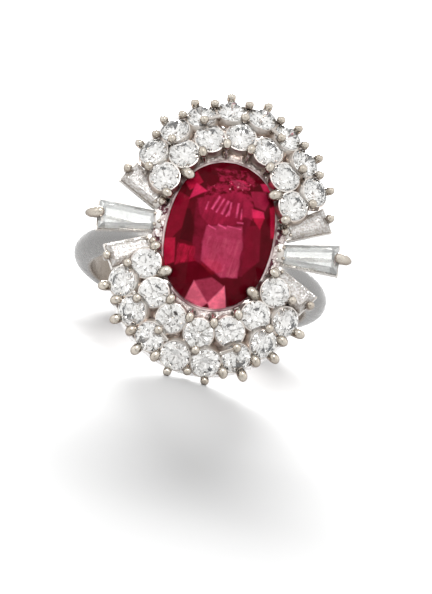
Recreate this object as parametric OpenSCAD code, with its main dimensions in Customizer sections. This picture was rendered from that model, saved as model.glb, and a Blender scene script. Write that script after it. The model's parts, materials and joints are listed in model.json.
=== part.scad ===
// A ruby and diamond cluster ring, lying on its side as it does on a table.
// The ring is laid out as it is worn: X runs across the finger, Y along the finger, and Z up
// through the head, from the centre of the finger hole. The last step tips it over onto its side.

/* [Finger hole and band] */
// Radius of the finger hole
bore_r = 8.5; // [8.2:0.1:8.8]
// Radius of the round wire that the band is bent from
band_wire_r = 1.1; // [1:0.05:1.2]
// Thickness of the band, from the finger hole outwards
band_t = 1.5; // [1.4:0.05:1.6]
// Half of the opening that is sawn out of the band under the head
band_gap = 3.5; // [3.3:0.1:3.7]

/* [Ruby] */
// Half of the ruby's width
ruby_a = 4.03; // [3.95:0.01:4.06]
// Half of the ruby's length
ruby_b = 5.72; // [5.6:0.02:5.76]
// Radius of the ruby's two round ends
ruby_end_r = 3.75; // [3.6:0.05:3.8]
// Height of the ruby's girdle above the centre of the finger hole
ruby_z = 13.15; // [13.1:0.05:13.3]
// Height of the ruby's crown
ruby_crown = 1.15; // [1:0.05:1.3]
// Depth of the ruby's pavilion
ruby_pavilion = 3.3; // [3:0.1:3.4]

/* [Round diamonds] */
// Diameter of every round diamond
diamond_d = 2.2; // [2.1:0.02:2.24]
// Width of the table, as a share of the diameter
table_share = 0.57; // [0.53:0.01:0.62]
// Height of the crown, as a share of the diameter
crown_share = 0.15; // [0.13:0.01:0.16]
// Depth of the pavilion, as a share of the diameter
pavilion_share = 0.43; // [0.41:0.01:0.44]

/* [Inner tier] */
// Half width of the oval on which the inner diamonds sit
inner_a = 5.53; // [5.5:0.01:5.55]
// Half length of that oval
inner_b = 7.83; // [7.8:0.01:7.86]
// Height of the inner diamonds above the centre of the finger hole
inner_z = 13.46; // [13.42:0.02:13.5]
// Outward tilt of the inner diamonds
inner_tilt = 12; // [10:1:14]
// Distance between neighbouring inner diamonds
inner_pitch = 2.34; // [2.32:0.01:2.36]
// Turn of the whole inner tier about the ruby
inner_turn = 1; // [0:0.25:1.5]

/* [Outer tier] */
// Half width of the oval on which the outer diamonds sit
outer_a = 7.4; // [7.35:0.01:7.45]
// Half length of that oval
outer_b = 9.88; // [9.85:0.01:9.9]
// Height of the outer diamonds above the centre of the finger hole
outer_z = 12.87; // [12.8:0.01:12.9]
// Outward tilt of the outer diamonds
outer_tilt = 34; // [32:1:36]
// Distance between neighbouring outer diamonds
outer_pitch = 2.36; // [2.34:0.01:2.38]

/* [Baguettes] */
// Length of the long baguette on each side
long_l = 4.4; // [4.2:0.1:4.5]
// Its width at the outer end
long_w = 2.2; // [2.1:0.05:2.25]
// Its width at the inner end
long_w_in = 1.4; // [1.3:0.05:1.45]
// Turn of the two long baguettes
long_turn = 8; // [6:1:8]
// Height of their girdles
long_z = 12.7; // [12.65:0.05:12.8]
// Length of the four short baguettes
short_l = 3.3; // [3.1:0.1:3.4]
// Their width at the outer end
short_w = 1.8; // [1.7:0.05:1.85]
// Their width at the inner end
short_w_in = 1.15; // [1.1:0.05:1.2]
// Angle between a short baguette and the ring's long side
short_turn = 31.5; // [31:0.5:32]
// Height of their girdles
short_z = 12.45; // [12.4:0.05:12.5]

/* [Claws and rails] */
// Radius of the thin claw wires
wire_r = 0.15; // [0.13:0.01:0.16]
// Radius of the ball at the end of a thin claw
bead_r = 0.28; // [0.25:0.01:0.29]
// Radius of the ruby's four claws
ruby_claw_r = 0.36; // [0.33:0.01:0.38]
// Radius of the base rail
base_wire_r = 0.42; // [0.38:0.01:0.45]

/* [Hidden] */
$fn = 32;
big = 40;
metal_colour = [0.82, 0.8, 0.77];
diamond_colour = [0.93, 0.96, 0.98];
ruby_colour = [0.65, 0.03, 0.15];

// Vectors and ovals

function unit(v) = v / norm(v);
function turned(p, angle) = [
    p.x * cos(angle) - p.y * sin(angle),
    p.x * sin(angle) + p.y * cos(angle)
];
function ellipse_point(a, b, t) = [a * sin(t), b * cos(t)];
function ellipse_out(a, b, t) = unit([sin(t) / a, cos(t) / b]);

// The next place on an ellipse, one pitch further on, found by closing in on it.
function next_t(a, b, t, pitch, gap = 15, tries = 8) = tries == 0
    ? t + gap
    : next_t(a, b, t, pitch,
        gap * pitch / norm(ellipse_point(a, b, t + gap) - ellipse_point(a, b, t)), tries - 1);
function walk(a, b, t, pitch, steps) = steps == 0
    ? [t]
    : concat([t], walk(a, b, next_t(a, b, t, pitch), pitch, steps - 1));

// A seat is where a stone sits: its centre, the way that it faces in plan, and its outward tilt.
function seat(a, b, z, tilt, t, turn) =
    let (
        p = turned(ellipse_point(a, b, t), turn),
        out = turned(ellipse_out(a, b, t), turn)
    )
    [[p.x, p.y, z], atan2(out.y, out.x), tilt];
// A point given from a seat: outwards in the stone's plane, sideways, and up the stone's axis.
function at(s, out, side, up) = s[0]
    + out * [cos(s[1]) * cos(s[2]), sin(s[1]) * cos(s[2]), -sin(s[2])]
    + side * [-sin(s[1]), cos(s[1]), 0]
    + up * [cos(s[1]) * sin(s[2]), sin(s[1]) * sin(s[2]), cos(s[2])];

inner_walk = walk(inner_a, inner_b, 0, inner_pitch, 3);
inner_ts = [for (k = [-3:3]) sign(k) * inner_walk[abs(k)]];
inner_notch_ts = [for (k = [0:5]) (inner_ts[k] + inner_ts[k + 1]) / 2];
outer_walk = walk(outer_a, outer_b, asin(outer_pitch / 2 / outer_a), outer_pitch, 3);
outer_ts = concat([for (k = [3:-1:0]) -outer_walk[k]], outer_walk);
outer_notch_ts = [for (k = [0:6]) (outer_ts[k] + outer_ts[k + 1]) / 2];
function inner_seat(t, half) = seat(inner_a, inner_b, inner_z, inner_tilt, t, 180 * half + inner_turn);
function outer_seat(t, half) = seat(outer_a, outer_b, outer_z, outer_tilt, t, 180 * half);

// Gem cutting

diamond_r = diamond_d / 2;
diamond_girdle = 0.03 * diamond_d;
diamond_crown = crown_share * diamond_d;
diamond_pavilion = pavilion_share * diamond_d;
// How far down a brilliant's crown the star facets end, and down its pavilion the girdle facets.
star_end = 0.55;
lower_end = 0.78;

function lift(points, z) = [for (p = points) [p.x, p.y, z]];
// Where two lines in plan cross, each given by a point and a direction.
function crossing(p, d, q, e) =
    p + d * ((q - p).x * e.y - (q - p).y * e.x) / (d.x * e.y - d.y * e.x);
// Neighbouring kites meet in a line. This is its point at the share k of the way from the girdle
// points of the kites to their tips, so that every kite is one flat facet.
function kite_corner(girdle, tangents, tips, i, k) =
    let (j = (i + 1) % 8)
    crossing(
        girdle[i] + (tips[i] - girdle[i]) * k, tangents[i],
        girdle[j] + (tips[j] - girdle[j]) * k, tangents[j]);
// The same faces seen from the other side, as a polyhedron lists them clockwise from outside.
function flipped(faces) = [for (f = faces) [for (n = [len(f) - 1:-1:0]) f[n]]];

// A brilliant's crown: table points first, then star points, then the rim with rim_n points
// in each eighth. Faces are counter-clockwise from outside.
function crown_faces(rim_n) = [
    [for (i = [0:7]) i],
    for (i = [0:7]) let (j = (i + 1) % 8, h = (i + 7) % 8, g = 16 + rim_n * i) each [
        [i, 8 + i, j],
        [i, g, 8 + i],
        [i, 8 + h, g],
        for (n = [0:rim_n - 1]) [8 + i, g + n, 16 + (rim_n * i + n + 1) % (8 * rim_n)]
    ]
];
// The upright band between two rims of count points, which start at the numbers top and low.
function band_faces(top, low, count) = [
    for (n = [0:count - 1]) let (m = (n + 1) % count) each [
        [top + n, low + n, top + m],
        [top + m, low + n, low + m]
    ]
];

module brilliant() {
    rays = [for (i = [0:7]) [cos(45 * i), sin(45 * i)]];
    tangents = [for (p = rays) [-p.y, p.x]];
    rim = [for (n = [0:15]) diamond_r * [cos(22.5 * n), sin(22.5 * n)]];
    table = diamond_r * table_share * rays;
    stars = [for (i = [0:7]) kite_corner(diamond_r * rays, tangents, table, i, star_end)];
    lowers = [for (i = [0:7]) kite_corner(diamond_r * rays, tangents, 0 * rays, i, lower_end)];
    z = diamond_girdle / 2;
    points = concat(
        lift(table, z + diamond_crown),
        lift(stars, z + diamond_crown * star_end),
        lift(rim, z),
        lift(rim, -z),
        lift(lowers, -z - diamond_pavilion * lower_end),
        [[0, 0, -z - diamond_pavilion]]);
    pavilion = [for (i = [0:7]) let (j = (i + 1) % 8, h = (i + 7) % 8, g = 32 + 2 * i) each [
        [48 + i, g + 1, g],
        [48 + i, 32 + 2 * j, g + 1],
        [56, 48 + i, g],
        [56, g, 48 + h]
    ]];
    polyhedron(points, flipped(concat(crown_faces(2), band_faces(16, 32, 16), pavilion)));
}

// The ruby's outline is an oval of four arcs. A point on it is found from the angle of its normal.
ruby_side_r = (ruby_a * ruby_a + ruby_b * ruby_b - 2 * ruby_b * ruby_end_r) / (2 * (ruby_a - ruby_end_r));
oval_cx = ruby_side_r - ruby_a;
oval_cy = ruby_b - ruby_end_r;
oval_corner = atan2(oval_cy, oval_cx);
function oval_point(q, grow = 0) = abs(sin(q)) * oval_cx > abs(cos(q)) * oval_cy
    ? [0, sign(sin(q)) * oval_cy] + (ruby_end_r + grow) * [cos(q), sin(q)]
    : [-sign(cos(q)) * oval_cx, 0] + (ruby_side_r + grow) * [cos(q), sin(q)];
// The normal at a distance along the outline, from the middle of the side.
oval_side_l = ruby_side_r * oval_corner * PI / 180;
oval_quarter_l = oval_side_l + ruby_end_r * (90 - oval_corner) * PI / 180;
function quarter_normal(l) = l < oval_side_l
    ? l / ruby_side_r * 180 / PI
    : oval_corner + (l - oval_side_l) / ruby_end_r * 180 / PI;
function rim_normal(n) =
    n <= 8 ? quarter_normal(n / 8 * oval_quarter_l)
    : n <= 16 ? 180 - rim_normal(16 - n)
    : 180 + rim_normal(n - 16);

ruby_girdle = 0.15;
ruby_table_share = 0.6;
// The pavilion's steps, each as its share of the outline and its share of the depth.
ruby_steps = [[0.8, 0.31], [0.53, 0.65], [0.28, 0.88]];

module ruby() {
    normals = [for (n = [0:31]) rim_normal(n)];
    rim = [for (q = normals) oval_point(q)];
    mains = [for (i = [0:7]) rim[4 * i]];
    tangents = [for (i = [0:7]) let (q = normals[4 * i]) [-sin(q), cos(q)]];
    table = ruby_table_share * mains;
    stars = [for (i = [0:7]) kite_corner(mains, tangents, table, i, star_end)];
    z = ruby_girdle / 2;
    facets = [for (i = [0:15]) rim[2 * i]];
    points = concat(
        lift(table, z + ruby_crown),
        lift(stars, z + ruby_crown * star_end),
        lift(rim, z),
        lift(rim, -z),
        [for (s = ruby_steps) each lift(s[0] * facets, -z - s[1] * ruby_pavilion)],
        [[0, 0, -z - ruby_pavilion]]);
    under_rim = [for (i = [0:15]) let (j = (i + 1) % 16, g = 48 + 2 * i) each [
        [80 + i, g + 1, g],
        [80 + i, 80 + j, g + 1],
        [80 + j, 48 + 2 * j, g + 1]
    ]];
    tip = 80 + 16 * len(ruby_steps);
    last = tip - 16;
    steps = [for (k = [0:len(ruby_steps) - 2]) each band_faces(80 + 16 * k, 96 + 16 * k, 16)];
    culet = [for (i = [0:15]) [last + i, tip, last + (i + 1) % 16]];
    color(ruby_colour)
        laid()
        translate([0, 0, ruby_z])
        polyhedron(points, flipped(concat(crown_faces(4), band_faces(16, 48, 32), under_rim, steps, culet)));
}

// A tapered baguette lies along X with its inner end at the origin. Its outline, grown by a
// distance that is negative for the steps inside it.
function taper_outline(l, w, w_in, grow) =
    let (
        half = function (x) w_in / 2 + (w - w_in) / 2 * x / l + grow * norm([l, (w - w_in) / 2]) / l,
        x0 = -grow,
        x1 = l + grow
    )
    [[x0, -half(x0)], [x1, -half(x1)], [x1, half(x1)], [x0, half(x0)]];

baguette_crown = 0.3;
baguette_girdle = 0.06;
// A baguette's steps from the table down, each as how far it lies inside the outline and its height.
baguette_steps = [
    [0.34, baguette_girdle / 2 + baguette_crown],
    [0.15, baguette_girdle / 2 + 0.6 * baguette_crown],
    [0, baguette_girdle / 2],
    [0, -baguette_girdle / 2],
    [0.22, -0.38],
    [0.38, -0.58],
    [0.5, -0.7]
];

module tapered_baguette(l, w, w_in) {
    last = 4 * len(baguette_steps) - 4;
    points = [for (s = baguette_steps) each lift(taper_outline(l, w, w_in, -s[0]), s[1])];
    sides = [for (k = [0:len(baguette_steps) - 2]) each band_faces(4 * k, 4 * k + 4, 4)];
    polyhedron(points, flipped(concat([[0, 1, 2, 3]], sides, [[last + 3, last + 2, last + 1, last]])));
}

// The middle of each baguette's inner end.
long_x = 4.78;
long_y = -0.12;
short_x = 4.85;
short_y = 1.65;
// Each baguette is [length, outer width, inner width, middle of its inner end, turn]. Number 0 is the
// long one on the right, 1 the short one above it and 2 the one below it.
baguettes = [
    [long_l, long_w, long_w_in, [long_x, long_y, long_z], long_turn],
    [short_l, short_w, short_w_in, [short_x, short_y, short_z], short_turn],
    [short_l, short_w, short_w_in, [short_x, -short_y, short_z], -short_turn]
];
module placed(b, half) {
    rotate([0, 0, 180 * half]) translate(b[3]) rotate([0, 0, b[4]]) children();
}
function placed_point(b, p) =
    let (q = turned(p, b[4]))
    b[3] + [q.x, q.y, p.z];

// Metal

module rod(from, to, r) {
    v = to - from;
    translate(from) rotate([0, acos(v.z / norm(v)), atan2(v.y, v.x)]) cylinder(h = norm(v), r = r);
}
module ball(p, r) {
    translate(p) sphere(r);
}
module claw(foot, tip) {
    rod(foot, tip, wire_r);
    ball(tip, bead_r);
}

// The band: a half-round wire bent round the finger, sawn open under the head.
band_c = bore_r + band_t - band_wire_r;
module band() {
    difference() {
        rotate([90, 0, 0]) rotate_extrude($fn = 96) intersection() {
            translate([band_c, 0]) circle(band_wire_r);
            translate([bore_r, -band_wire_r - 1]) square([band_t + 1, 2 * band_wire_r + 2]);
        }
        translate([-band_gap, -big / 2, 0]) cube([2 * band_gap, big, big]);
    }
}

// A closed rail that follows the ruby's outline at a distance.
module oval_rail(grow, z, r) {
    for (side = [0, 1]) rotate([0, 0, 180 * side]) translate([0, 0, z]) {
        translate([0, oval_cy, 0]) rotate([0, 0, oval_corner])
            rotate_extrude(angle = 180 - 2 * oval_corner, $fn = 64)
            translate([ruby_end_r + grow, 0]) circle(r);
        translate([-oval_cx, 0, 0]) rotate([0, 0, -oval_corner])
            rotate_extrude(angle = 2 * oval_corner, $fn = 128)
            translate([ruby_side_r + grow, 0]) circle(r);
    }
}

// A rail along one arc about a centre on the long axis, with a ball at each end, given as
// [centre, radius, height, wire radius, half angle].
outer_rail = [3.31, 7.11, outer_z - 1.27, 0.24, 74];
mid_rail = [2.88, 6.02, outer_z - 1.92, 0.22, 80];
module arc_rail(rail) {
    translate([0, rail[0], rail[2]]) {
        rotate([0, 0, 90 - rail[4]])
            rotate_extrude(angle = 2 * rail[4], $fn = 64)
            translate([rail[1], 0]) circle(rail[3]);
        for (side = [-1, 1])
            translate([side * rail[1] * sin(rail[4]), rail[1] * cos(rail[4]), 0])
            sphere(rail[3] + rail_end_grow);
    }
}
rail_end_grow = 0.04;
// The place on an arc rail that is nearest to a point, and on an oval rail.
function arc_foot(rail, p) =
    let (f = [0, rail[0]] + rail[1] * unit([p.x, p.y - rail[0]]))
    [f.x, f.y, rail[2]];
function oval_foot(p, grow, z) =
    let (
        over_end = [abs(p.x), abs(p.y) - oval_cy],
        on_end = over_end.y * oval_cx > over_end.x * oval_cy,
        f = on_end
            ? [0, oval_cy] + (ruby_end_r + grow) * unit(over_end)
            : [-oval_cx, 0] + (ruby_side_r + grow) * unit([abs(p.x) + oval_cx, abs(p.y)])
    )
    [sign(p.x) * f.x, sign(p.y) * f.y, z];

collar_grow = 0.22;
collar_z = ruby_z - 0.4;
collar_wire_r = 0.2;
base_grow = -0.12;
base_z = bore_r + base_wire_r + 0.63;
strut_r = 0.22;
ball_grow = 0.01;

// Tips of the claws, from the seats of the stones that they hold: outwards, up, and for the claws
// at the ends of the inner tier sideways between them.
outer_tip = [diamond_r + 0.21, 0.27];
outer_notch_tip = [0.74, 0.22];
inner_tip = [diamond_r + 0.18, 0.66];
inner_notch_tip = [-0.8, 0.3];
inner_end_tip = [-0.8, 1.1, 0.26];
// The claws between the tiers rise through the gaps between the outer diamonds and bend over. This
// is the gap of each one, counted from the middle, for the four inner diamonds of a quarter.
claw_gaps = [0, 1, 3, 3];
claw_sides = [0, 0, 0, 0.06];
claw_bend = [-0.85, 0.28];
end_claw_h = 1;
function outer_tip_at(t, half) = at(outer_seat(t, half), outer_tip[0], 0, outer_tip[1]);

module outer_claws() {
    for (t = outer_ts) {
        tip = outer_tip_at(t, 0);
        foot = arc_foot(outer_rail, tip);
        claw(foot, tip);
        q = atan2(foot.y - outer_rail[0], foot.x);
        base = oval_point(q, base_grow);
        rod([base.x, base.y, base_z], foot, strut_r);
    }
    for (t = outer_notch_ts) {
        tip = at(outer_seat(t, 0), outer_notch_tip[0], 0, outer_notch_tip[1]);
        claw(arc_foot(outer_rail, tip), tip);
    }
}

module inner_claws() {
    for (k = [-3:3]) {
        side = -sign(k) * claw_sides[abs(k)];
        tip = at(inner_seat(inner_ts[k + 3], 0), inner_tip[0], side, inner_tip[1]);
        gap_t = outer_notch_ts[3 + sign(k) * claw_gaps[abs(k)]];
        bend = abs(k) < 3
            ? at(outer_seat(gap_t, 0), claw_bend[0], 0, claw_bend[1])
            : tip - [0, 0, end_claw_h];
        rod(arc_foot(mid_rail, bend), bend, wire_r);
        ball(bend, wire_r + ball_grow);
        claw(bend, tip);
    }
    for (k = [1:4]) {
        tip = at(inner_seat(inner_notch_ts[k], 0), inner_notch_tip[0], 0, inner_notch_tip[1]);
        claw(oval_foot(tip, collar_grow, collar_z), tip);
    }
    for (side = [-1, 1]) {
        seat = inner_seat(side * inner_walk[3], 0);
        tip = at(seat, inner_end_tip[0], -side * inner_end_tip[1], inner_end_tip[2]);
        claw(oval_foot(tip, collar_grow, collar_z), tip);
    }
}

// Each ruby claw rises beside the girdle to a knee and leans in over the crown.
ruby_knee_out = 0.47;
ruby_tip_out = 0.12;
ruby_tip_up = 0.66;
ruby_ball_r = ruby_claw_r + 0.03;
module ruby_claws() {
    q = rim_normal(4);
    for (sx = [-1, 1], sy = [-1, 1]) {
        out = [sx * cos(q), sy * sin(q), 0];
        edge = concat([for (c = [0, 1]) [sx, sy][c] * oval_point(q)[c]], [ruby_z]);
        knee = edge + ruby_knee_out * out;
        tip = edge + ruby_tip_out * out + [0, 0, ruby_tip_up];
        foot = oval_foot(edge, base_grow, base_z);
        rod(foot, knee, ruby_claw_r);
        ball(knee, ruby_claw_r + ball_grow);
        rod(knee, tip, ruby_claw_r);
        ball(tip, ruby_ball_r);
    }
}

// Each baguette stands in a frame with an open bottom, on a strut from the base rail, and a short
// link ties the frame to the collar round the ruby.
frame_top = -0.2;
frame_h = 0.5;
frame_out = 0.09;
frame_in = -0.07;
frame_mid = frame_top - frame_h / 2;
link_r = 0.16;
baguette_strut_r = 0.18;
// Where each baguette's strut stands on the base rail, as the angle of the rail's normal.
baguette_base_angles = [0, 15, -15];
module baguette_frame(l, w, w_in) {
    translate([0, 0, frame_top - frame_h]) linear_extrude(frame_h) difference() {
        polygon(taper_outline(l, w, w_in, frame_out));
        polygon(taper_outline(l, w, w_in, frame_in));
    }
}

// The long baguette has one stout claw with a knee at its outer end and two small beads at its
// inner end. A short one has a thin claw at each end.
stout_r = 0.34;
stout_foot = [long_l + 0.2, 0, frame_mid];
stout_foot_r = 0.24;
stout_knee = [long_l + 0.62, 0, 0.05];
stout_tip = [long_l + 0.05, 0, 0.56];
small_bead_r = 0.2;
small_bead_side = 0.5;
module long_claws() {
    rod(stout_foot, stout_knee, stout_foot_r);
    ball(stout_knee, stout_r + ball_grow);
    rod(stout_knee, stout_tip, stout_r);
    ball(stout_tip, stout_r + ball_grow);
    for (side = [-small_bead_side, small_bead_side]) {
        tip = [-0.24, side, 0.12];
        rod([-0.2, side, frame_mid], tip, wire_r);
        ball(tip, small_bead_r);
    }
}
module short_claws() {
    claw([short_l + 0.19, 0, frame_mid], [short_l + 0.2, 0, 0.36]);
    claw([-0.2, 0, frame_mid], [-0.16, 0, 0.42]);
}

module baguette_mount() {
    for (n = [0:2]) {
        b = baguettes[n];
        placed(b, 0) baguette_frame(b[0], b[1], b[2]);
        base = oval_point(baguette_base_angles[n], base_grow);
        under_end = placed_point(b, [b[0] + 0.06, 0, frame_top - frame_h - 0.05]);
        rod([base.x, base.y, base_z], under_end, baguette_strut_r);
        inner_end = placed_point(b, [0, 0, frame_mid]);
        rod(inner_end, oval_foot(inner_end, collar_grow, collar_z), link_r);
    }
    placed(baguettes[0], 0) long_claws();
    for (n = [1, 2]) placed(baguettes[n], 0) short_claws();
}

module setting() {
    color(metal_colour) laid() {
        band();
        oval_rail(base_grow, base_z, base_wire_r);
        oval_rail(collar_grow, collar_z, collar_wire_r);
        ruby_claws();
        for (half = [0, 1]) rotate([0, 0, 180 * half]) {
            arc_rail(outer_rail);
            arc_rail(mid_rail);
            outer_claws();
            inner_claws();
            baguette_mount();
        }
    }
}

// Lying on its side: the ring rests on the two outer claws nearest to its long axis and on the
// bottom of the band, so the plane through them turns into the floor.
rest_tip = outer_tip_at(outer_walk[0], 0);
rest_lean = atan2(rest_tip.y, rest_tip.z + band_c)
    + asin((bead_r - band_wire_r) / norm([rest_tip.y, rest_tip.z + band_c]));
front_tip = at(inner_seat(0, 0), inner_tip[0], 0, inner_tip[1]);
front_y = -front_tip.y * sin(rest_lean) - front_tip.z * cos(rest_lean) - bead_r;
back_y = band_c * cos(rest_lean) + band_wire_r;
floor_z = -band_c * sin(rest_lean) - band_wire_r;
module laid() {
    translate([0, -(front_y + back_y) / 2, -floor_z]) rotate([90 - rest_lean, 0, 0]) children();
}

// Stones

module stone_in(s) {
    color(diamond_colour) laid() translate(s[0]) rotate([0, 0, s[1]]) rotate([0, s[2], 0]) brilliant();
}
module inner_diamond(n) {
    stone_in(inner_seat(inner_ts[6 - n % 7], floor(n / 7)));
}
module outer_diamond(n) {
    stone_in(outer_seat(outer_ts[7 - n % 8], floor(n / 8)));
}
module baguette(n) {
    b = baguettes[n % 3];
    color(diamond_colour) laid() placed(b, floor(n / 3)) tapered_baguette(b[0], b[1], b[2]);
}

function numbered(stem, n) = str(stem, n < 9 ? "_0" : "_", n + 1);
inner_names = [for (n = [0:13]) numbered("inner_diamond", n)];
outer_names = [for (n = [0:15]) numbered("outer_diamond", n)];
baguette_names = [for (n = [0:5]) numbered("baguette", n)];

setting();
ruby();
for (n = [0:13]) inner_diamond(n);
for (n = [0:15]) outer_diamond(n);
for (n = [0:5]) baguette(n);
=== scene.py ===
# %% [markdown]
# # A ruby and diamond cluster ring
#
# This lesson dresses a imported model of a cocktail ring. An oval ruby stands in four claws. Two tiers
# of round diamonds lie above and below it, and tapered baguettes fan out at each side. The model
# brings the ring's true shapes, lying on its side as a ring does on a table. The lesson adds the
# finish of the stones and of the white gold, the fine metalwork that a solid model leaves plain,
# and a small white photo studio.

# %% Load the fixed frame
import json
import math

import bmesh
import bpy
from mathutils import Matrix, Vector


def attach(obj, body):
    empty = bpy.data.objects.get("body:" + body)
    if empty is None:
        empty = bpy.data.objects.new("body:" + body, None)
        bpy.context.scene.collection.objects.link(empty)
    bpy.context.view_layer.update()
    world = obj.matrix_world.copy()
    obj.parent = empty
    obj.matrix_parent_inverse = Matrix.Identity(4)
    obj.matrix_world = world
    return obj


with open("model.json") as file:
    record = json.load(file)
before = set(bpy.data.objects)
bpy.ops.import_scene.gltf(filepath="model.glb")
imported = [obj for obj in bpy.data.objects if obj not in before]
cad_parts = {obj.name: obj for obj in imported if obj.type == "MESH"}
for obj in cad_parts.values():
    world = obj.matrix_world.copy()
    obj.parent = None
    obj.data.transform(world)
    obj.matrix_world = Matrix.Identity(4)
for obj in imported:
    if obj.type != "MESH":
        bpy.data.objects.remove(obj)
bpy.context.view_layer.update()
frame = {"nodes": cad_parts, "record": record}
nodes = frame["nodes"]
print("solids in the frame:", len(nodes))

# %% [markdown]
# ## The ring's own directions
#
# A ring maker thinks of the ring as it is worn: X runs across the finger, Y along it, and Z up through
# the head. The model states its finger hole, with the middle of the hole and the direction of the
# finger, so the worn directions follow from that. Every place on the ring is given in millimetres in
# those directions, and one matrix turns them into the scene's metres.

# %% Worn directions
MM = 0.001
hole = next(m for m in frame["record"]["mounts"] if m["name"] == "finger_hole")
HOLE_MIDDLE = Vector(hole["pos_m"])
ACROSS = Vector((1, 0, 0))
ALONG = Vector(hole["axis"]).normalized()
OUTWARD = ACROSS.cross(ALONG)
AXES = Matrix((ACROSS, ALONG, OUTWARD)).transposed().to_4x4()
WORN = Matrix.Translation(HOLE_MIDDLE) @ AXES @ Matrix.Scale(MM, 4)
print("the head faces", [round(c, 3) for c in OUTWARD])

# %% [markdown]
# ## The camera
#
# A long lens far away keeps a jewel's shape. This one is 350 mm from the ring, sees a little under
# 50 mm at that distance, looks down at it by ten degrees and is rolled, as the photographer held it.

# %% Camera
VIEW_DISTANCE = 350
VIEW_AZIMUTH = -3.19
VIEW_ELEVATION = 10.43
VIEW_ROLL = math.radians(14.56)
# The middle of the picture, in millimetres from the middle of the finger hole.
AIM_RIGHT = 1.232
AIM_UP = -1.502
PIXELS_PER_MM = 12.885
FRAME_H = 594
SENSOR = 36


def seen_from(azimuth, elevation):
    """The direction towards a viewer at an azimuth and an elevation in degrees."""
    azimuth, elevation = math.radians(azimuth), math.radians(elevation)
    return Vector((
        math.sin(azimuth) * math.cos(elevation),
        -math.cos(azimuth) * math.cos(elevation),
        math.sin(elevation),
    ))


to_camera = seen_from(VIEW_AZIMUTH, VIEW_ELEVATION)
around = math.radians(VIEW_AZIMUTH)
level_right = Vector((math.cos(around), math.sin(around), 0))
level_up = to_camera.cross(level_right)
view_right = math.cos(VIEW_ROLL) * level_right + math.sin(VIEW_ROLL) * level_up
view_up = math.cos(VIEW_ROLL) * level_up - math.sin(VIEW_ROLL) * level_right
aim = HOLE_MIDDLE + MM * (AIM_RIGHT * view_right + AIM_UP * view_up)

camera_data = bpy.data.cameras.new("camera")
camera_data.sensor_width = SENSOR
camera_data.lens = PIXELS_PER_MM * VIEW_DISTANCE * SENSOR / FRAME_H
camera_data.clip_start = 0.01
camera_data.clip_end = 20
camera = bpy.data.objects.new("camera", camera_data)
camera.matrix_world = (
    Matrix.Translation(aim + MM * VIEW_DISTANCE * to_camera)
    @ Matrix((view_right, view_up, to_camera)).transposed().to_4x4()
)
bpy.context.scene.collection.objects.link(camera)
bpy.context.scene.camera = camera
print("lens", round(camera_data.lens, 1), "mm")

# %% [markdown]
# ## Writing a finish as an expression
#
# A finish is a small network of nodes. Wiring it by hand takes many lines, so one class stands for a
# socket and overloads the arithmetic signs: `1 - mask * 0.2` adds the Math nodes by itself. Every
# other node comes from one method that takes its type, its settings and its inputs.

# %% Sockets that do arithmetic
class Wire:
    """An output socket in a finish."""

    def __init__(self, finish, socket):
        self.finish = finish
        self.socket = socket

    def __add__(self, other):
        return self.finish.math("ADD", self, other)

    def __sub__(self, other):
        return self.finish.math("SUBTRACT", self, other)

    def __rsub__(self, other):
        return self.finish.math("SUBTRACT", other, self)

    def __mul__(self, other):
        return self.finish.math("MULTIPLY", self, other)

    __radd__ = __add__
    __rmul__ = __mul__


print("sockets can be added, subtracted and multiplied")

# %% [markdown]
# ### The nodes of a finish
#
# The nodes could be placed one by one in the editor. In a script, a method for each kind of pattern
# keeps a finish as short as its description, and all of them work in millimetres. Object coordinates
# are in metres, so a Mapping node brings them to millimetres first.

# %% Finishes
class Finish:
    """A material whose nodes are added by name."""

    def __init__(self, name):
        self.material = bpy.data.materials.new(name)
        self.material.use_nodes = True
        self.tree = self.material.node_tree
        self.tree.nodes.clear()
        self.output = self.tree.nodes.new("ShaderNodeOutputMaterial")

    def plug(self, socket, value):
        """Links a wire to a socket, or sets a constant on it."""
        if isinstance(value, Wire):
            self.tree.links.new(value.socket, socket)
        else:
            socket.default_value = value

    def node(self, kind, settings, inputs, output=0):
        """Adds a node, with its settings first and then its inputs, and gives one of its outputs."""
        node = self.tree.nodes.new("ShaderNode" + kind)
        for name, value in settings.items():
            setattr(node, name, value)
        for name, value in inputs.items():
            self.plug(node.inputs[name], value)
        return Wire(self, node.outputs[output])

    def math(self, operation, a, b):
        return self.node("Math", {"operation": operation}, {0: a, 1: b})

    def place(self, scale=(1, 1, 1)):
        """Object coordinates in millimetres, stretched."""
        at = self.node("TexCoord", {}, {}, "Object")
        return self.node("Mapping", {}, {"Vector": at, "Scale": [s / MM for s in scale]})

    def noise(self, size, place=None, detail=3.0, rough=0.5):
        """Cloudy noise from 0 to 1 whose blots are about size millimetres."""
        return self.node("TexNoise", {}, {
            "Vector": place or self.place(),
            "Scale": 1 / size,
            "Detail": detail,
            "Roughness": rough,
        })

    def mix(self, factor, a, b):
        """A colour between a and b."""
        return self.node("Mix", {"data_type": "RGBA"}, {0: factor, 6: a, 7: b}, 2)

    def spread(self, value, low, high, to_low=0.0, to_high=1.0):
        """Carries a value's range from low to high over to another range, with its ends held."""
        return self.node("MapRange", {"clamp": True}, {
            "Value": value,
            "From Min": low,
            "From Max": high,
            "To Min": to_low,
            "To Max": to_high,
        })

    def bump(self, height, distance, strength=1.0, over=None):
        """Relief as deep as a distance in millimetres, on top of another relief if one is given."""
        inputs = {"Height": height, "Distance": distance * MM, "Strength": strength}
        if over:
            inputs["Normal"] = over
        return self.node("Bump", {}, inputs)

    def surface(self, **inputs):
        """The shader itself. Its sockets are named with underscores for spaces."""
        shader = self.node("BsdfPrincipled", {}, {k.replace("_", " "): v for k, v in inputs.items()})
        self.tree.links.new(shader.socket, self.output.inputs["Surface"])
        return self.material


def give(piece, material):
    """Makes a material the only one of a piece."""
    piece.data.materials.clear()
    piece.data.materials.append(material)


print("object coordinates are multiplied by", round(1 / MM))

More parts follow.
